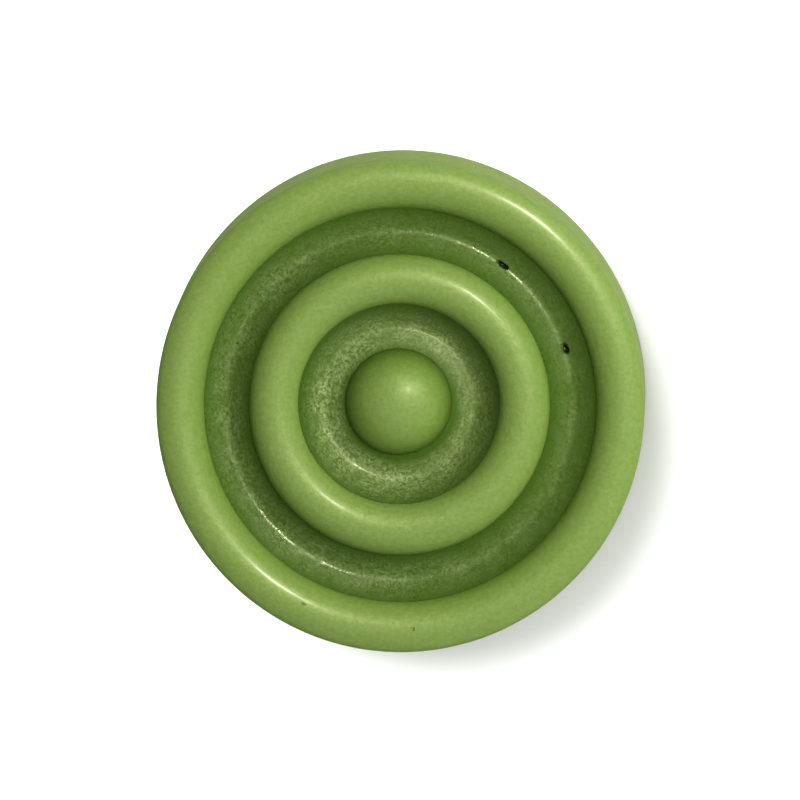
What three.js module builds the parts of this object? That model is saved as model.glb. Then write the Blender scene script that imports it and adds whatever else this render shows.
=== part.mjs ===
// Shaving soap puck: a round cake of cast soap with a relief of rings on its face.
// Millimetres, +Z up. The flat back lies on z = 0, centred on the Z axis, and the relief faces +Z.
// A base, darker and frosted in its two grooves, carries three raised pieces of a smoother soap: an
// outer ring along the rim, an inner ring, and a dome in the middle. Each stands in a shallow seat.

import * as THREE from "three";

// Overall sizes
const backDiameter = 76; // across the back, before its edge is rounded
const puckThickness = 25; // flat back to the crests of the relief

// Side wall
const wallDraftDegrees = 1.3; // the wall leans in towards the face
const backEdgeRadius = 1.2; // rounding between the flat back and the wall

// Widths of the relief. The two grooves share the room that these leave, half each.
const outerRingShoulder = 3.1; // edge of the face to the outer ring's crest
const outerRingInnerSide = 4.3; // outer ring's crest to its inner foot
const innerRingWidth = 7.6;
const domeDiameter = 16.3;

// Heights of the raised pieces, from foot to crest
const outerRingHeight = 3.3;
const innerRingHeight = 2.7;
const domeHeight = 5.2;

// Grooves, from the level of the crests
const outerGrooveDepth = 5.7;
const innerGrooveDepth = 6.9;
const flankBendAcross = 0.4; // each flank bends at this share of its width from the foot,
const flankBendDown = 0.55; // and this share of its depth, so it is hollow and steeper at the foot
const grooveBottomRounding = 0.35; // half the width of the rounded bottom

// Section of the raised pieces: the share of a full half ellipse that shows above the foot
const crestFullness = 0.965;

// Seats of the raised pieces in the base
const seatDepth = 0.8; // below the foot of the piece
const bondGap = 0.05; // between a raised piece and its seat, all round

// Roundness of the modelled surfaces
const turnSteps = 72; // around the puck
const ringSteps = 7; // from a ring's crest to its foot
const domeSteps = 9; // from the dome's top to its foot
const flankSteps = 6; // down a groove's flank
const cornerSteps = 4; // around a small rounded corner

// Places worked out from the sizes above
const draftSlope = Math.tan(THREE.MathUtils.degToRad(wallDraftDegrees));
const outerFootZ = puckThickness - outerRingHeight;
const innerFootZ = puckThickness - innerRingHeight;
const domeFootZ = puckThickness - domeHeight;
const shoulderShare = outerRingShoulder / outerRingInnerSide;
const faceEdgeZ = puckThickness - crestDrop(shoulderShare, outerRingHeight);
const outerCrestRadius = wallRadiusAt(faceEdgeZ) - outerRingShoulder;
const outerRingInnerFoot = outerCrestRadius - outerRingInnerSide;
const domeFootRadius = domeDiameter / 2;
const grooveWidth = (outerRingInnerFoot - innerRingWidth - domeFootRadius) / 2;
const innerRingOuterFoot = outerRingInnerFoot - grooveWidth;
const innerCrestRadius = innerRingOuterFoot - innerRingWidth / 2;
const innerRingInnerFoot = innerRingOuterFoot - innerRingWidth;

// Radius of the side wall at a height.
function wallRadiusAt(z) {
  return backDiameter / 2 - z * draftSlope;
}

// Drop of a rounded crest at a share of the way from its top (0) to its foot (1).
function crestDrop(share, height) {
  const lowest = 1 - Math.sqrt(1 - crestFullness ** 2);
  return (height * (1 - Math.sqrt(1 - (crestFullness * share) ** 2))) / lowest;
}

// A profile is a list of points, each a radius and a height.
function at(radius, z) {
  return new THREE.Vector2(radius, z);
}

// The rounded flank of a raised piece, from its crest to lastShare of the way to its foot. Equal
// turns of the ellipse put the points closer together where the flank is steep.
function flank(crestRadius, footRadius, height, steps, lastShare = 1) {
  const lastTurn = Math.asin(crestFullness * lastShare);
  const points = [];
  for (let step = 0; step <= steps; step += 1) {
    const share = Math.sin((lastTurn * step) / steps) / crestFullness;
    const radius = crestRadius + (footRadius - crestRadius) * share;
    points.push(at(radius, puckThickness - crestDrop(share, height)));
  }
  return points;
}

// A rounded corner at a point, between the straight lines to its two neighbours.
function roundedCorner(before, corner, after, reach) {
  const start = corner.clone().lerp(before, reach / corner.distanceTo(before));
  const end = corner.clone().lerp(after, reach / corner.distanceTo(after));
  return new THREE.QuadraticBezierCurve(start, corner, end).getPoints(cornerSteps);
}

// A groove's flank, from a foot down to the edge of the rounded bottom.
function grooveFlank(foot, bottom) {
  const bend = at(
    foot.x + (bottom.x - foot.x) * flankBendAcross,
    foot.y + (bottom.y - foot.y) * flankBendDown,
  );
  const points = new THREE.QuadraticBezierCurve(foot, bend, bottom).getPoints(flankSteps);
  return points.filter((point) => Math.abs(point.x - bottom.x) > grooveBottomRounding);
}

// A groove from one foot to another: two hollow flanks and a small rounded bottom midway.
function groove(firstFoot, secondFoot, depth) {
  const bottom = at((firstFoot.x + secondFoot.x) / 2, puckThickness - depth);
  const down = grooveFlank(firstFoot, bottom);
  const up = grooveFlank(secondFoot, bottom).reverse();
  const rounding = new THREE.QuadraticBezierCurve(down.at(-1), bottom, up[0]).getPoints(cornerSteps);
  return [...down, ...rounding.slice(1, -1), ...up];
}

// The puck's pieces are turned solids about the Z axis.
function turned(name, profile, color, roughness) {
  const geometry = new THREE.LatheGeometry(profile, turnSteps);
  geometry.rotateX(Math.PI / 2); // the lathe turns about Y
  const soap = new THREE.MeshStandardMaterial({ color, roughness, metalness: 0 });
  const mesh = new THREE.Mesh(geometry, soap);
  mesh.name = name;
  return mesh;
}

// Base: flat back, side wall, three seats, and the two grooves between them.
function makeBase() {
  const seatFloorBelowFoot = seatDepth + bondGap;
  const outerSeatZ = outerFootZ - seatFloorBelowFoot;
  const innerSeatZ = innerFootZ - seatFloorBelowFoot;
  const domeSeatZ = domeFootZ - seatFloorBelowFoot;
  const outerSeatLip = at(outerRingInnerFoot - bondGap, outerFootZ);
  const innerSeatOuterLip = at(innerRingOuterFoot + bondGap, innerFootZ);
  const innerSeatInnerLip = at(innerRingInnerFoot - bondGap, innerFootZ);
  const domeSeatLip = at(domeFootRadius + bondGap, domeFootZ);
  const wallTop = at(wallRadiusAt(outerSeatZ), outerSeatZ);
  const backCentre = at(0, 0);
  const profile = [
    backCentre,
    ...roundedCorner(backCentre, at(backDiameter / 2, 0), wallTop, backEdgeRadius),
    wallTop,
    at(outerSeatLip.x, outerSeatZ),
    ...groove(outerSeatLip, innerSeatOuterLip, outerGrooveDepth),
    at(innerSeatOuterLip.x, innerSeatZ),
    at(innerSeatInnerLip.x, innerSeatZ),
    ...groove(innerSeatInnerLip, domeSeatLip, innerGrooveDepth),
    at(domeSeatLip.x, domeSeatZ),
    at(0, domeSeatZ),
  ];
  return turned("base", profile, 0x5f8a3f, 0.42);
}

// Outer ring: a rounded bead whose outer side ends at the edge of the face, flush with the wall.
function makeOuterRing() {
  const undersideZ = outerFootZ - seatDepth;
  const shoulderFoot = outerCrestRadius + outerRingInnerSide;
  const shoulder = flank(outerCrestRadius, shoulderFoot, outerRingHeight, ringSteps, shoulderShare);
  const innerSide = flank(outerCrestRadius, outerRingInnerFoot, outerRingHeight, ringSteps);
  const profile = [
    at(outerRingInnerFoot, undersideZ),
    at(wallRadiusAt(undersideZ), undersideZ),
    ...shoulder.reverse(),
    ...innerSide.slice(1),
    at(outerRingInnerFoot, undersideZ),
  ];
  return turned("outer_ring", profile, 0x8fae5f, 0.36);
}

// Inner ring: a rounded bead with a groove on each side.
function makeInnerRing() {
  const undersideZ = innerFootZ - seatDepth;
  const outerSide = flank(innerCrestRadius, innerRingOuterFoot, innerRingHeight, ringSteps);
  const innerSide = flank(innerCrestRadius, innerRingInnerFoot, innerRingHeight, ringSteps);
  const profile = [
    at(innerRingInnerFoot, undersideZ),
    at(innerRingOuterFoot, undersideZ),
    ...outerSide.reverse(),
    ...innerSide.slice(1),
    at(innerRingInnerFoot, undersideZ),
  ];
  return turned("inner_ring", profile, 0x8fae5f, 0.36);
}

// Dome: the round boss in the middle.
function makeDome() {
  const undersideZ = domeFootZ - seatDepth;
  const side = flank(0, domeFootRadius, domeHeight, domeSteps);
  const profile = [at(0, undersideZ), at(domeFootRadius, undersideZ), ...side.reverse()];
  return turned("centre_dome", profile, 0x8fae5f, 0.36);
}

const puck = new THREE.Group();
puck.add(makeBase(), makeOuterRing(), makeInnerRing(), makeDome());

export default puck;
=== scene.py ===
"""Shaving soap puck: a round cake of cast soap with a relief of rings, seen face on from above.

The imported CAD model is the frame. Each CAD node is replaced by a fine mesh of the same piece.
"""

import math

import bpy
from mathutils import Matrix, Vector, noise


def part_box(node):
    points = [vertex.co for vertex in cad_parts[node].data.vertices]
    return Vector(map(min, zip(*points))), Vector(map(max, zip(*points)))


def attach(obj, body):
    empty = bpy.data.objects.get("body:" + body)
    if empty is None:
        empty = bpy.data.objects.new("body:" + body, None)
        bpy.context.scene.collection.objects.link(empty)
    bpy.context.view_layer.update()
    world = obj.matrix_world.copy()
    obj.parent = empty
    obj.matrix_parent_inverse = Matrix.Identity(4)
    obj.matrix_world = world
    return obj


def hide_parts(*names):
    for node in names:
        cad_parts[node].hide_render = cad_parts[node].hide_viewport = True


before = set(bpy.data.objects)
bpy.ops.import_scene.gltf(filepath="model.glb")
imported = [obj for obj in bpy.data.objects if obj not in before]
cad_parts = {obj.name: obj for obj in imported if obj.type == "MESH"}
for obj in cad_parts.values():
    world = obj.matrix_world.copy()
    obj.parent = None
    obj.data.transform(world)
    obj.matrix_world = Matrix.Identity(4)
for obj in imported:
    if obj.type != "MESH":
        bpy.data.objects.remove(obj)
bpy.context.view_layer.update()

MM = 0.001  # the frame is in metres, and the sizes below are in millimetres


def seat_and_radius(cad_node):
    """Height of a CAD node's underside and its outer radius, in millimetres."""
    low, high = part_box(cad_node)
    return low.z / MM, high.x / MM


# Places read from the frame
CREST_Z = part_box("outer_ring")[1].z / MM
BACK_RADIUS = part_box("base")[1].x / MM
OUTER_SEAT_Z, WALL_RADIUS_AT_SEAT = seat_and_radius("outer_ring")
INNER_SEAT_Z, INNER_RING_OUTER_FOOT = seat_and_radius("inner_ring")
DOME_SEAT_Z, DOME_FOOT = seat_and_radius("centre_dome")

# The relief's own sizes
SEAT_DEPTH = 0.8
BACK_EDGE_RADIUS = 1.2
OUTER_SHOULDER = 3.1
OUTER_INNER_SIDE = 4.3
INNER_RING_WIDTH = 7.6
OUTER_GROOVE_DEPTH = 5.7
INNER_GROOVE_DEPTH = 6.9
OUTER_GROOVE_ROUNDING = 0.7
INNER_GROOVE_ROUNDING = 0.75
BEND_WIDTH_SHARE = 0.4
BEND_DEPTH_SHARE = 0.55
ARRIS_ROUNDING = 0.8
CREST_FULLNESS = 0.965
BOND_GAP = 0.01

# Places worked out from these
OUTER_FOOT_Z = OUTER_SEAT_Z + SEAT_DEPTH
INNER_FOOT_Z = INNER_SEAT_Z + SEAT_DEPTH
DOME_FOOT_Z = DOME_SEAT_Z + SEAT_DEPTH
INNER_RING_INNER_FOOT = INNER_RING_OUTER_FOOT - INNER_RING_WIDTH
INNER_CREST = INNER_RING_OUTER_FOOT - INNER_RING_WIDTH / 2
WALL_SLOPE = (BACK_RADIUS - WALL_RADIUS_AT_SEAT) / OUTER_SEAT_Z
RELIEF_ABOVE_Z = CREST_Z - INNER_GROOVE_DEPTH

# Unevenness of the casting: slow and quick waves of the surface, a relief whose middle lies a
# little off centre, and a rim that is narrower from left to right by a factor.
WAVE = 0.04
SLOW_WAVE_LENGTH = 11.0
SLOW_WAVE_OFFSET = Vector((3.1, 7.7, 1.3))
QUICK_WAVE_LENGTH = 2.3
QUICK_WAVE_OFFSET = Vector((9.4, 2.2, 5.8))
QUICK_WAVE_SHARE = 0.16
WAVES_FULL_Z = 6.0
MIDDLE_DRIFT = Vector((-0.30, 0.55, 0.0))
DRIFT_FROM = 8.0
DRIFT_TO = 37.0
DRIFT_FROM_Z = 12.0
DRIFT_FULL_Z = 18.0
NARROWER = 0.989
NARROWER_FROM = 20.0
NARROWER_TO = 32.0

# Small pits where air bubbles broke at the surface, and lumps, which have a negative depth:
# azimuth in degrees, distance from the middle, half sizes outward and around, and depth.
# The first two pits also get painted shade inside them.
PITS_WITH_PAINTED_SHADE = (
    (18.7, 26.65, 0.55, 0.85, 1.2),
    (53.6, 26.40, 0.42, 1.15, 0.9),
)
PITS = PITS_WITH_PAINTED_SHADE + (
    (0.0, 24.50, 0.26, 0.26, 0.3),
    (160.0, 26.50, 0.26, 0.26, 0.3),
    (227.0, 26.50, 0.26, 0.30, 0.3),
    (243.6, 33.50, 0.28, 0.28, 0.3),
    (273.3, 33.85, 0.30, 0.30, 0.35),
    (90.0, 24.50, 0.22, 0.22, 0.15),
    (257.0, 25.65, 0.40, 0.45, -0.22),
    (298.0, 32.90, 0.30, 0.35, -0.10),
)

# How the base's wall and back are told from its grooves
BELOW_GROOVES_BY = 1.0
WALL_TOLERANCE = 0.04

# Fineness of the meshes
TURN_STEPS = 720
PROFILE_STEP = 0.14
FLANK_LENGTH_PER_WIDTH = 1.6
FEWEST_FLANK_STEPS = 8
GROOVE_SIDE_STEPS = 30
CORNER_STEPS = 10
MOST_OF_A_SIDE = 0.96  # the largest share of a straight line that a rounded corner takes
ARRIS_POINTS = 13  # points of the outer ring's shoulder that its arris replaces
RING_WALL_STEP = 0.4
BASE_WALL_STEP = 0.5
BACK_STEP = 2.0
BACK_FIRST_RADIUS = 0.5
SHARP_FROM = math.radians(30)

# Colours of the soap, in linear light
# The first colour is the bare soap; at the feet of the grooves it also paints their shade.
GROOVE_SOAP = (0.045, 0.096, 0.008)
GROOVE_SOAP_IN_BLOOM = (0.094, 0.148, 0.031)
FROST = (0.290, 0.375, 0.158)
# Painted shade for the insides of the two deeper pits.
PAINTED_PIT_SHADE = (0.010, 0.022, 0.003)
SPECULAR_LEVEL = 0.5
WALL_SPECULAR_LEVEL = 0.12

# The bloom in the grooves is thicker towards one side, and thinner towards the other, where it also
# paints shade: its azimuth, and how far out it levels off.
FROST_TOWARDS = 200
FROST_REACH = 12.0

# Camera: it looks down on the relief, leaning a little towards the top of the picture. Its distance
# is in metres and its two angles are in degrees.
CAMERA_DISTANCE = 1.0
CAMERA_LEAN = 5.2
CAMERA_LEAN_TOWARDS = 76
FACE_RADIUS_IN_PICTURE = 0.30875  # as a share of the picture's width
AIM = Vector((0.0, 1.13, CREST_Z - 1.4)) * MM

FLOOR_HALF_SIZE = 3.0  # metres


# ---- Sections of the pieces, as (radius, height) points ----


def share_of_way(value, start, end):
    """How far a value has come from a start (0) to an end (1)."""
    return min(1.0, max(0.0, (value - start) / (end - start)))


def wall_radius(z):
    """Radius of the side wall at a height."""
    return BACK_RADIUS - z * WALL_SLOPE


def crest_drop(share, height):
    """Drop of a rounded crest at a share of the way from its top (0) to its foot (1)."""
    lowest = 1 - math.sqrt(1 - CREST_FULLNESS ** 2)
    return height * (1 - math.sqrt(1 - (CREST_FULLNESS * share) ** 2)) / lowest


def flank(crest, foot, height, last_share=1.0):
    """Rounded flank from a crest to its foot, crest first."""
    last_turn = math.asin(CREST_FULLNESS * last_share)
    length = abs(foot - crest) * FLANK_LENGTH_PER_WIDTH
    steps = max(FEWEST_FLANK_STEPS, int(length / PROFILE_STEP))
    points = []
    for step in range(steps + 1):
        share = math.sin(last_turn * step / steps) / CREST_FULLNESS
        points.append((crest + (foot - crest) * share, CREST_Z - crest_drop(share, height)))
    return points


def curve(start, bend, end, steps):
    """Quadratic curve from a start to an end, drawn towards a bend."""
    points = []
    for step in range(steps + 1):
        t = step / steps
        p = start * (1 - t) ** 2 + bend * 2 * t * (1 - t) + end * t ** 2
        points.append((p.x, p.y))
    return points


def rounded_corner(before, corner, after, reach=math.inf):
    """Curve that rounds the corner between two straight lines, over a reach along each."""
    middle = Vector(corner)
    ends = []
    for neighbour in (Vector(before), Vector(after)):
        share = min(MOST_OF_A_SIDE, reach / (middle - neighbour).length)
        ends.append(middle.lerp(neighbour, share))
    return curve(ends[0], middle, ends[1], CORNER_STEPS)


def refine(points, step):
    """Extra points along the straight stretches of a profile."""
    out = [points[0]]
    for p, q in zip(points, points[1:]):
        pieces = max(1, math.ceil(math.dist(p, q) / step))
        for k in range(1, pieces + 1):
            t = k / pieces
            out.append((p[0] + (q[0] - p[0]) * t, p[1] + (q[1] - p[1]) * t))
    return out


def groove_side(foot, bottom, rounding):
    """Hollow flank from a foot to the edge of the rounded bottom: steep at the foot."""
    bend = Vector((
        foot[0] + (bottom[0] - foot[0]) * BEND_WIDTH_SHARE,
        foot[1] + (bottom[1] - foot[1]) * BEND_DEPTH_SHARE,
    ))
    side = curve(Vector(foot), bend, Vector(bottom), GROOVE_SIDE_STEPS)
    return [p for p in side if abs(p[0] - bottom[0]) > rounding]


def groove(first, second, depth, rounding):
    """Hollow-sided groove between two feet, with a rounding in its bottom."""
    bottom = ((first[0] + second[0]) / 2, CREST_Z - depth)
    down = groove_side(first, bottom, rounding)
    up = groove_side(second, bottom, rounding)
    return [*down, *rounded_corner(down[-1], bottom, up[-1]), *up[::-1]]


FACE_EDGE_Z = CREST_Z - crest_drop(OUTER_SHOULDER / OUTER_INNER_SIDE, CREST_Z - OUTER_FOOT_Z)
OUTER_CREST = wall_radius(FACE_EDGE_Z) - OUTER_SHOULDER
OUTER_RING_FOOT = OUTER_CREST - OUTER_INNER_SIDE
OUTER_GROOVE_MIDDLE = (OUTER_RING_FOOT + INNER_RING_OUTER_FOOT) / 2
INNER_GROOVE_MIDDLE = (INNER_RING_INNER_FOOT + DOME_FOOT) / 2
WALL_LOOK_FROM = OUTER_CREST + 1.0
WALL_LOOK_FULL = OUTER_CREST + 2.0


def base_profile():
    outer_floor_z = OUTER_SEAT_Z - BOND_GAP
    inner_floor_z = INNER_SEAT_Z - BOND_GAP
    dome_floor_z = DOME_SEAT_Z - BOND_GAP
    outer_lip = (OUTER_RING_FOOT - BOND_GAP, OUTER_FOOT_Z)
    inner_outer_lip = (INNER_RING_OUTER_FOOT + BOND_GAP, INNER_FOOT_Z)
    inner_inner_lip = (INNER_RING_INNER_FOOT - BOND_GAP, INNER_FOOT_Z)
    dome_lip = (DOME_FOOT + BOND_GAP, DOME_FOOT_Z)
    wall_top = (wall_radius(outer_floor_z), outer_floor_z)
    back_edge = rounded_corner((0, 0), (BACK_RADIUS, 0), wall_top, BACK_EDGE_RADIUS)
    return [
        (0, 0),
        *refine([(BACK_FIRST_RADIUS, 0), back_edge[0]], BACK_STEP),
        *back_edge[1:],
        *refine([back_edge[-1], wall_top], BASE_WALL_STEP)[1:],
        (outer_lip[0], outer_floor_z),
        *groove(outer_lip, inner_outer_lip, OUTER_GROOVE_DEPTH, OUTER_GROOVE_ROUNDING),
        (inner_outer_lip[0], inner_floor_z),
        (inner_inner_lip[0], inner_floor_z),
        *groove(inner_inner_lip, dome_lip, INNER_GROOVE_DEPTH, INNER_GROOVE_ROUNDING),
        (dome_lip[0], dome_floor_z),
        (0, dome_floor_z),
    ]


def outer_ring_profile():
    height = CREST_Z - OUTER_FOOT_Z
    shoulder_foot = OUTER_CREST + OUTER_INNER_SIDE
    shoulder = flank(OUTER_CREST, shoulder_foot, height, OUTER_SHOULDER / OUTER_INNER_SIDE)
    inner_side = flank(OUTER_CREST, OUTER_RING_FOOT, height)
    wall_bottom = (wall_radius(OUTER_SEAT_Z), OUTER_SEAT_Z)
    arris = rounded_corner(wall_bottom, shoulder[-1], shoulder[-ARRIS_POINTS], ARRIS_ROUNDING)
    return [
        (OUTER_RING_FOOT, OUTER_SEAT_Z),
        *refine([wall_bottom, arris[0]], RING_WALL_STEP)[:-1],
        *arris,
        *shoulder[:-ARRIS_POINTS][::-1],
        *inner_side[1:],
        (OUTER_RING_FOOT, OUTER_SEAT_Z),
    ]


def inner_ring_profile():
    height = CREST_Z - INNER_FOOT_Z
    outer_side = flank(INNER_CREST, INNER_RING_OUTER_FOOT, height)
    inner_side = flank(INNER_CREST, INNER_RING_INNER_FOOT, height)
    return [
        (INNER_RING_INNER_FOOT, INNER_SEAT_Z),
        (INNER_RING_OUTER_FOOT, INNER_SEAT_Z),
        *outer_side[::-1],
        *inner_side[1:],
        (INNER_RING_INNER_FOOT, INNER_SEAT_Z),
    ]


def dome_profile():
    side = flank(0, DOME_FOOT, CREST_Z - DOME_FOOT_Z)
    return [(0, DOME_SEAT_Z), (DOME_FOOT, DOME_SEAT_Z), *side[::-1]]


# ---- Turned meshes ----


def pit_depth(p):
    """How far a point near a pit sinks, or rises near a lump."""
    depth = 0.0
    for azimuth, distance, outward, around, deepest in PITS:
        a = math.radians(azimuth)
        out = p.x * math.cos(a) + p.y * math.sin(a) - distance
        side = p.y * math.cos(a) - p.x * math.sin(a)
        away = math.hypot(out / outward, side / around)
        if away < 1:
            depth += deepest * (1 - away ** 3)
    return depth


def soften(radius, angle, z):
    """A point of the turned surface, in metres, with the slight unevenness of cast soap."""
    p = Vector((radius * math.cos(angle), radius * math.sin(angle), z))
    slow = noise.noise(p / SLOW_WAVE_LENGTH + SLOW_WAVE_OFFSET)
    quick = noise.noise(p / QUICK_WAVE_LENGTH + QUICK_WAVE_OFFSET)
    waves = abs(slow) + QUICK_WAVE_SHARE * (quick + 1)
    p.z -= WAVE * waves * share_of_way(z, 0.0, WAVES_FULL_Z)
    if z > RELIEF_ABOVE_Z:
        p.z -= pit_depth(p)
    drift = share_of_way(radius, DRIFT_TO, DRIFT_FROM)
    p += MIDDLE_DRIFT * drift * share_of_way(z, DRIFT_FROM_Z, DRIFT_FULL_Z)
    p.x *= 1 - (1 - NARROWER) * share_of_way(radius, NARROWER_FROM, NARROWER_TO)
    return p * MM


def turned_mesh(name, profile):
    """A closed mesh turned about Z. Its profile closes on itself, or starts and ends on the axis."""
    on_axis = profile[0][0] == 0 and profile[-1][0] == 0
    ring = profile[1:-1] if on_axis else profile[:-1]
    count = len(ring)
    vertices = []
    faces = []
    for turn in range(TURN_STEPS):
        angle = 2 * math.pi * turn / TURN_STEPS
        vertices.extend(soften(radius, angle, z) for radius, z in ring)
    for turn in range(TURN_STEPS):
        here = turn * count
        there = ((turn + 1) % TURN_STEPS) * count
        for k in range(count - 1 if on_axis else count):
            n = (k + 1) % count
            faces.append((here + k, there + k, there + n, here + n))
    if on_axis:
        first_pole = len(vertices)
        last_pole = first_pole + 1
        vertices.append(Vector((0, 0, profile[0][1])) * MM)
        vertices.append(soften(0.0, 0.0, profile[-1][1]))
        for turn in range(TURN_STEPS):
            here = turn * count
            there = ((turn + 1) % TURN_STEPS) * count
            faces.append((first_pole, there, here))
            faces.append((last_pole, here + count - 1, there + count - 1))
    mesh = bpy.data.meshes.new(name)
    mesh.from_pydata([tuple(v) for v in vertices], [], faces)
    mesh.validate()
    mesh.shade_smooth()
    mesh.set_sharp_from_angle(angle=SHARP_FROM)
    return mesh


def is_outside(p):
    """Whether a point of the base is on its side wall or its back."""
    below_grooves = p.z < RELIEF_ABOVE_Z - BELOW_GROOVES_BY
    on_wall = math.hypot(p.x / NARROWER, p.y) > wall_radius(p.z) - WALL_TOLERANCE
    return below_grooves or on_wall


def add_piece(name, profile, material, cad_node, outside=None):
    """A turned piece that stands for a CAD node. outside is the material of a wall and back."""
    mesh = turned_mesh(name, profile)
    piece = bpy.data.objects.new(name, mesh)
    bpy.context.scene.collection.objects.link(piece)
    mesh.materials.append(material)
    if outside:
        mesh.materials.append(outside)
        for face in mesh.polygons:
            if is_outside(face.center / MM):
                face.material_index = 1
    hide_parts(cad_node)
    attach(piece, "root")
    return piece


# ---- Shader nodes ----


def node_material(name):
    material = bpy.data.materials.new(name)
    material.use_nodes = True
    return material, material.node_tree, material.node_tree.nodes["Principled BSDF"]


def node(tree, kind, values=None, **settings):
    """A new shader node with its settings and its sockets' values."""
    made = tree.nodes.new("ShaderNode" + kind)
    for name, value in settings.items():
        setattr(made, name, value)
    for socket, value in (values or {}).items():
        made.inputs[socket].default_value = value
    return made


def ramp(tree, factor, stops):
    """A colour ramp over a factor, from (position, colour) stops."""
    made = node(tree, "ValToRGB")
    marks = made.color_ramp.elements
    while len(marks) < len(stops):
        marks.new(1.0)
    for mark, (position, colour) in zip(marks, stops):
        mark.position = position
        mark.color = (*colour, 1.0)
    tree.links.new(factor, made.inputs["Fac"])
    return made.outputs["Color"]


def connect(tree, value, socket):
    """Links a socket to another socket, or gives it a number or a colour of its own."""
    if isinstance(value, tuple):
        socket.default_value = (*value, 1.0)
    elif isinstance(value, float):
        socket.default_value = value
    else:
        tree.links.new(value, socket)


def mixed(tree, factor, first, second):
    """Two colours mixed by a factor."""
    mix = node(tree, "Mix", data_type="RGBA")
    connect(tree, factor, mix.inputs["Factor"])
    connect(tree, first, mix.inputs[6])
    connect(tree, second, mix.inputs[7])
    return mix.outputs[2]


def tinted(tree, first, second):
    """Product of two colours."""
    mix = node(tree, "Mix", {"Factor": 1.0}, data_type="RGBA", blend_type="MULTIPLY")
    connect(tree, first, mix.inputs[6])
    connect(tree, second, mix.inputs[7])
    return mix.outputs[2]


def maths(tree, operation, first, second):
    """Result of a maths node on two values."""
    made = node(tree, "Math", operation=operation)
    connect(tree, first, made.inputs[0])
    connect(tree, second, made.inputs[1])
    return made.outputs[0]


def product(tree, first, second):
    return maths(tree, "MULTIPLY", first, second)


def vector_maths(tree, operation, vector, other):
    """A vector node that works on a linked vector and a fixed one."""
    made = node(tree, "VectorMath", {1: other}, operation=operation)
    tree.links.new(vector, made.inputs[0])
    return made


def length_of(tree, vector):
    made = node(tree, "VectorMath", operation="LENGTH")
    tree.links.new(vector, made.inputs[0])
    return made.outputs["Value"]


def component(tree, vector, axis):
    made = node(tree, "SeparateXYZ")
    tree.links.new(vector, made.inputs[0])
    return made.outputs[axis]


def between(tree, value, low, high, first=0.0, last=1.0):
    """Goes from a first number to a last one as a value goes from low to high."""
    ends = {"From Min": low, "From Max": high, "To Min": first, "To Max": last}
    made = node(tree, "MapRange", ends)
    tree.links.new(value, made.inputs["Value"])
    return made.outputs["Result"]


def object_place(tree):
    """Place on the object, in metres."""
    return node(tree, "TexCoord").outputs["Object"]


def distance_out(tree, place):
    """How far a point is from the puck's axis, in metres."""
    flat = vector_maths(tree, "MULTIPLY", place, (1.0, 1.0, 0.0))
    return length_of(tree, flat.outputs["Vector"])


def speckle(tree, place, scale, detail=4.0, roughness=0.5):
    """Noise over the object. Its broadest features are about 1000 / scale millimetres apart."""
    made = node(tree, "TexNoise", {"Scale": scale, "Detail": detail, "Roughness": roughness})
    tree.links.new(place, made.inputs["Vector"])
    return made


def bumped(tree, shader, height, strength, distance):
    bump = node(tree, "Bump", {"Strength": strength, "Distance": distance})
    tree.links.new(height, bump.inputs["Height"])
    tree.links.new(bump.outputs["Normal"], shader.inputs["Normal"])


def waxy(shader, depth):
    """Soft translucence of soap, to a depth in metres."""
    shader.inputs["Subsurface Weight"].default_value = 0.3
    shader.inputs["Subsurface Radius"].default_value = (1.0, 1.3, 0.5)
    shader.inputs["Subsurface Scale"].default_value = depth


# ---- Materials ----


def skin_colour_with_painted_shade(tree, place):
    """Light green with painted shade: it turns deeper and more saturated from the crests down to the
    feet, and darker in a band at the dome's foot.
    """
    level = between(tree, component(tree, place, "Z"), DOME_FOOT_Z * MM, CREST_Z * MM)
    # Painted shade: the green deepens towards the feet, where the creases lie in shade.
    tint = ramp(tree, level, [
        (0.0, (0.050, 0.105, 0.008)),
        (0.45, (0.147, 0.238, 0.043)),
        (0.75, (0.178, 0.272, 0.063)),
        (1.0, (0.189, 0.279, 0.076)),
    ])
    cloud = speckle(tree, place, 1400, 5.0, 0.7)
    cloudy = between(tree, cloud.outputs["Fac"], 0.38, 0.62)
    mottle = mixed(tree, cloudy, (0.9, 0.92, 0.84), (1.09, 1.07, 1.14))
    across = between(tree, distance_out(tree, place), 0.0, BACK_RADIUS * MM)
    foot = DOME_FOOT / BACK_RADIUS
    # Painted shade: a darker band around the dome's foot.
    dome_side = ramp(tree, across, [
        (foot * 0.5, (1.0, 1.0, 1.0)),
        (foot, (0.80, 0.82, 0.74)),
        (foot * 1.2, (0.80, 0.82, 0.74)),
        (foot * 1.4, (1.0, 1.0, 1.0)),
    ])
    return tinted(tree, tinted(tree, tint, mottle), dome_side)


def wall_colour_with_painted_light(tree, place):
    """Light green of the side wall and the back, lighter than the crests' green: painted light on
    the wall.
    """
    cloud = speckle(tree, place, 500, 6.0, 0.65)
    return ramp(tree, cloud.outputs["Fac"], [
        (0.35, (0.218, 0.310, 0.083)),
        (0.65, (0.262, 0.360, 0.112)),
    ])


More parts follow.
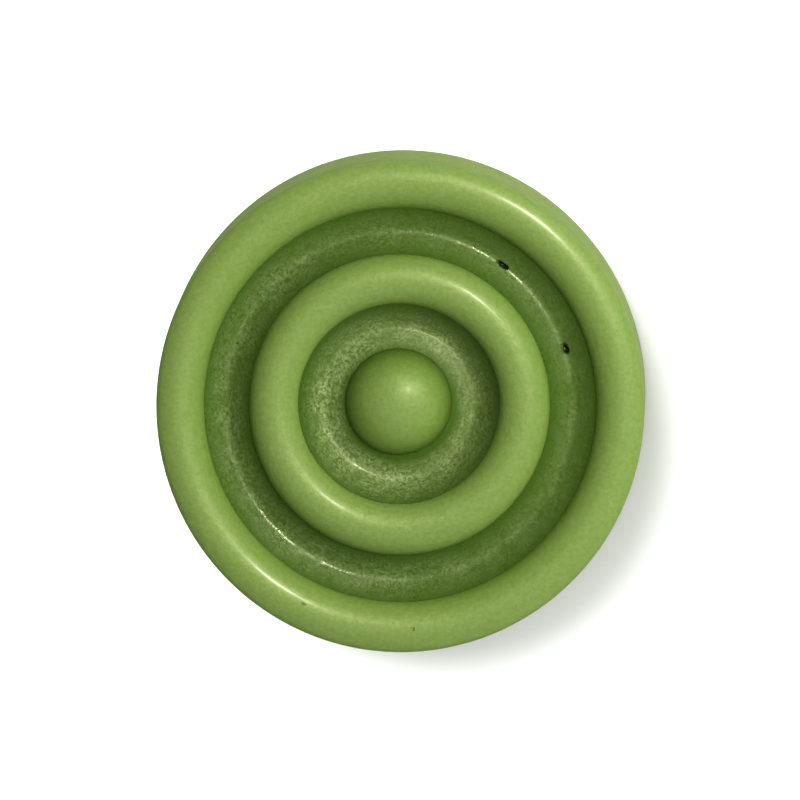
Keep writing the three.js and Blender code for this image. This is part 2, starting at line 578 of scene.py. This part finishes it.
def relief_soap():
    """Smooth, waxy, opaque light green soap, duller where it turns over into the side wall."""
    material, tree, shader = node_material("relief_soap")
    place = object_place(tree)
    upward = component(tree, node(tree, "TexCoord").outputs["Normal"], "Z")
    steep = between(tree, upward, 0.6, 0.1)
    radius = distance_out(tree, place)
    at_rim = between(tree, radius, WALL_LOOK_FROM * MM, WALL_LOOK_FULL * MM)
    wall = product(tree, steep, at_rim)
    # The colour holds painted shade towards the feet, and painted light on the steep rim, which
    # takes the wall's lighter green.
    colour = mixed(tree, wall, skin_colour_with_painted_shade(tree, place), wall_colour_with_painted_light(tree, place))
    tree.links.new(colour, shader.inputs["Base Color"])
    specular = between(tree, wall, 0.0, 1.0, SPECULAR_LEVEL, WALL_SPECULAR_LEVEL)
    tree.links.new(specular, shader.inputs["Specular IOR Level"])
    shader.inputs["Specular Tint"].default_value = (0.92, 1.0, 0.62, 1.0)

    # The gloss grows from the middle of the relief out to the outer ring, and the wall has none.
    polish = between(tree, radius, 0.0, OUTER_CREST * MM, 0.03, 0.24)
    off_wall = between(tree, wall, 1.0, 0.0)
    tree.links.new(product(tree, polish, off_wall), shader.inputs["Coat Weight"])
    shader.inputs["Coat Roughness"].default_value = 0.2
    shader.inputs["Coat Tint"].default_value = (0.95, 1.0, 0.75, 1.0)
    shader.inputs["Roughness"].default_value = 0.38
    waxy(shader, 0.0012)
    grain = speckle(tree, place, 520, 7.0, 0.72)
    bumped(tree, shader, grain.outputs["Fac"], 0.32, 0.00042)
    return material


def outer_skin():
    """The base's wall and back: light green with painted light on the wall, duller than the relief.
    """
    material, tree, shader = node_material("base_soap_skin")
    place = object_place(tree)
    tree.links.new(wall_colour_with_painted_light(tree, place), shader.inputs["Base Color"])
    shader.inputs["Roughness"].default_value = 0.5
    shader.inputs["Specular IOR Level"].default_value = WALL_SPECULAR_LEVEL
    waxy(shader, 0.0012)
    grain = speckle(tree, place, 900, 5.0, 0.6)
    bumped(tree, shader, grain.outputs["Fac"], 0.3, 0.0003)
    return material


def bloom_and_foot_shade_by_radius(tree, radius):
    """How thick the frosted bloom lies: most along the middle of a groove and none at the feet,
    where the bare dark soap also paints the shade of the creases.
    """

    def stop(distance, level):
        return (distance / BACK_RADIUS, (level, level, level))

    return ramp(tree, between(tree, radius, 0.0, BACK_RADIUS * MM), [
        stop(DOME_FOOT + 0.2, 0.0),
        stop(DOME_FOOT + 1.8, 0.75),
        stop(INNER_GROOVE_MIDDLE, 0.95),
        stop(INNER_RING_INNER_FOOT - 1.7, 0.45),
        stop(INNER_RING_INNER_FOOT, 0.0),
        stop(INNER_RING_OUTER_FOOT, 0.0),
        stop(INNER_RING_OUTER_FOOT + 1.0, 0.16),
        stop(INNER_RING_OUTER_FOOT + 2.0, 0.34),
        stop(OUTER_GROOVE_MIDDLE, 0.37),
        stop(OUTER_RING_FOOT - 1.6, 0.24),
        stop(OUTER_RING_FOOT, 0.0),
    ])


def needles_of_bloom(tree, place):
    """Fine streaks. In each small patch they run in a direction of their own."""
    wander = speckle(tree, place, 700, 2.0)
    shift = vector_maths(tree, "SUBTRACT", wander.outputs["Color"], (0.5, 0.5, 0.5))
    bent = vector_maths(tree, "MULTIPLY_ADD", shift.outputs["Vector"], (0.0004, 0.0004, 0.0))
    tree.links.new(place, bent.inputs[2])
    patches = node(tree, "TexVoronoi", {"Scale": 1300.0})
    tree.links.new(bent.outputs["Vector"], patches.inputs["Vector"])
    chance = component(tree, patches.outputs["Color"], "X")
    turn = node(tree, "VectorRotate", rotation_type="Z_AXIS")
    tree.links.new(bent.outputs["Vector"], turn.inputs["Vector"])
    tree.links.new(product(tree, chance, 2 * math.pi), turn.inputs["Angle"])
    stretch = vector_maths(tree, "MULTIPLY", turn.outputs["Vector"], (1.0, 0.4, 1.0))
    return speckle(tree, stretch.outputs["Vector"], 2400, 2.0, 0.5).outputs["Fac"]


def inside_pit(tree, place, pit):
    """1 inside a pit and 0 outside it."""
    azimuth, distance, outward, around, _ = pit
    centre = direction(azimuth, 90) * distance * MM
    offset = vector_maths(tree, "SUBTRACT", place, centre)
    level = node(tree, "VectorRotate", {"Angle": -math.radians(azimuth)}, rotation_type="Z_AXIS")
    tree.links.new(offset.outputs["Vector"], level.inputs["Vector"])
    sizes = (1 / (outward * MM), 1 / (around * MM), 0)
    shares = vector_maths(tree, "MULTIPLY", level.outputs["Vector"], sizes)
    return between(tree, length_of(tree, shares.outputs["Vector"]), 1.05, 0.75)


def base_soap():
    """Darker soap with a frosted bloom in the grooves, with painted shade at the feet of the
    grooves, on one side of them and inside two pits.
    """
    material, tree, shader = node_material("base_soap")
    place = object_place(tree)
    radius = distance_out(tree, place)
    bloom = bloom_and_foot_shade_by_radius(tree, radius)
    needles = needles_of_bloom(tree, place)
    cloud = speckle(tree, place, 260, 4.0, 0.6)
    streak = between(tree, needles, 0.38, 0.68)
    patchy = between(tree, cloud.outputs["Fac"], 0.15, 0.6)
    # Partly painted shade: the bloom thins away from FROST_TOWARDS.
    aside = vector_maths(tree, "DOT_PRODUCT", place, direction(FROST_TOWARDS, 90))
    reach = FROST_REACH * MM
    uneven = between(tree, aside.outputs["Value"], -reach, reach, 0.72, 1.28)
    amount = product(tree, product(tree, streak, patchy), product(tree, bloom, uneven))
    # Painted shade: the dark bare soap shows at the feet of the grooves, where the bloom thins out.
    body = mixed(tree, bloom, GROOVE_SOAP, GROOVE_SOAP_IN_BLOOM)
    colour = mixed(tree, amount, body, FROST)
    # Painted shade inside the two deeper pits.
    for pit in PITS_WITH_PAINTED_SHADE:
        colour = mixed(tree, inside_pit(tree, place, pit), colour, PAINTED_PIT_SHADE)
    tree.links.new(colour, shader.inputs["Base Color"])

    # The gloss is patchy, and the dome's side of the inner groove is dull all over.
    gloss = speckle(tree, place, 330, 3.0, 0.6)
    roughness = between(tree, gloss.outputs["Fac"], 0.42, 0.6, 0.24, 0.5)
    dull_from = (INNER_GROOVE_MIDDLE + 0.1) * MM
    dull_to = (INNER_GROOVE_MIDDLE - 0.4) * MM
    dome_side = between(tree, radius, dull_from, dull_to, 0.0, 0.5)
    tree.links.new(maths(tree, "MAXIMUM", roughness, dome_side), shader.inputs["Roughness"])
    shader.inputs["Specular Tint"].default_value = (0.95, 1.0, 0.8, 1.0)
    waxy(shader, 0.001)
    bumped(tree, shader, needles, 0.27, 0.0002)
    return material


# ---- Camera, lights and floor ----


def direction(azimuth, tilt):
    """Unit vector that leans by tilt from straight up, towards an azimuth, both in degrees."""
    a, t = math.radians(azimuth), math.radians(tilt)
    return Vector((math.sin(t) * math.cos(a), math.sin(t) * math.sin(a), math.cos(t)))


def make_camera():
    data = bpy.data.cameras.new("camera")
    camera = bpy.data.objects.new("camera", data)
    bpy.context.scene.collection.objects.link(camera)
    lean = direction(CAMERA_LEAN_TOWARDS, CAMERA_LEAN)
    camera.location = AIM + lean * CAMERA_DISTANCE
    right = Vector((0, 1, 0)).cross(lean).normalized()
    up = lean.cross(right)
    camera.rotation_euler = Matrix((right, up, lean)).transposed().to_euler()
    face_radius = wall_radius(FACE_EDGE_Z) * MM
    data.lens = FACE_RADIUS_IN_PICTURE * data.sensor_width * CAMERA_DISTANCE / face_radius
    bpy.context.scene.camera = camera


def area_light(name, azimuth, tilt, distance, size, white_level, lights_on, shiny=True, blue=1.0):
    """Round area light that aims at the puck, with its distance and size in metres.

    white_level is what it adds to the brightness of a white surface that faces it. lights_on is
    the collection that it lights. A light that isn't shiny makes no highlights, and blue is how
    much blue its light has, beside full red and green.
    """
    data = bpy.data.lights.new(name, "AREA")
    data.shape = "DISK"
    data.size = size
    data.energy = white_level * (math.pi * distance) ** 2
    data.color = (1.0, 1.0, blue)
    light = bpy.data.objects.new(name, data)
    bpy.context.scene.collection.objects.link(light)
    aim = direction(azimuth, tilt)
    light.location = aim * distance
    light.rotation_euler = aim.to_track_quat("Z", "Y").to_euler()
    light.light_linking.receiver_collection = lights_on
    light.visible_camera = False
    light.visible_glossy = shiny


def collection_of(name, objects):
    group = bpy.data.collections.new(name)
    for item in objects:
        group.objects.link(item)
    return group


def make_world(everywhere, lobe, azimuth, tilt, tightness):
    """Dim light from everywhere, and a broad soft glow around one direction."""
    world = bpy.data.worlds.new("studio")
    world.use_nodes = True
    tree = world.node_tree
    looking = node(tree, "TexCoord").outputs["Generated"]
    dot = vector_maths(tree, "DOT_PRODUCT", looking, direction(azimuth, tilt))
    facing = maths(tree, "MAXIMUM", dot.outputs["Value"], 0.0)
    glow = product(tree, maths(tree, "POWER", facing, tightness), lobe)
    background = tree.nodes["Background"]
    background.inputs["Color"].default_value = (1, 1, 1, 1)
    tree.links.new(maths(tree, "ADD", glow, everywhere), background.inputs["Strength"])
    bpy.context.scene.world = world
    world.cycles_visibility.glossy = False


def make_floor():
    half = FLOOR_HALF_SIZE
    corners = [(-half, -half, 0), (half, -half, 0), (half, half, 0), (-half, half, 0)]
    mesh = bpy.data.meshes.new("floor")
    mesh.from_pydata(corners, [], [(0, 1, 2, 3)])
    floor = bpy.data.objects.new("floor", mesh)
    bpy.context.scene.collection.objects.link(floor)
    material, _, shader = node_material("pale_floor")
    shader.inputs["Base Color"].default_value = (0.93, 0.93, 0.93, 1)
    shader.inputs["Roughness"].default_value = 0.9
    floor.data.materials.append(material)
    floor.visible_glossy = False
    return floor


make_camera()
relief = relief_soap()
darker = base_soap()
skin = outer_skin()
puck = [
    add_piece("base_soap_body", base_profile(), darker, "base", outside=skin),
    add_piece("outer_soap_ring", outer_ring_profile(), relief, "outer_ring"),
    add_piece("inner_soap_ring", inner_ring_profile(), relief, "inner_ring"),
    add_piece("soap_dome", dome_profile(), relief, "centre_dome"),
]
on_puck = collection_of("lit_puck", puck)
on_floor = collection_of("lit_floor", [make_floor()])
make_world(everywhere=0.056, lobe=0.67, azimuth=345, tilt=35, tightness=3.0)
area_light("window", 25, 42, 0.5, 0.3, 0.3, on_puck, shiny=False)
area_light("fill", 315, 32, 0.7, 0.35, 0.27, on_puck, shiny=False)
area_light("key", 51, 28, 0.45, 0.055, 0.72, on_puck, blue=0.78)
area_light("floor_top", 0, 0, 1.5, 1.2, 0.6, on_floor)
area_light("floor_side", 133, 28, 1.2, 0.75, 1.6, on_floor)
bpy.context.scene.view_settings.view_transform = "Standard"
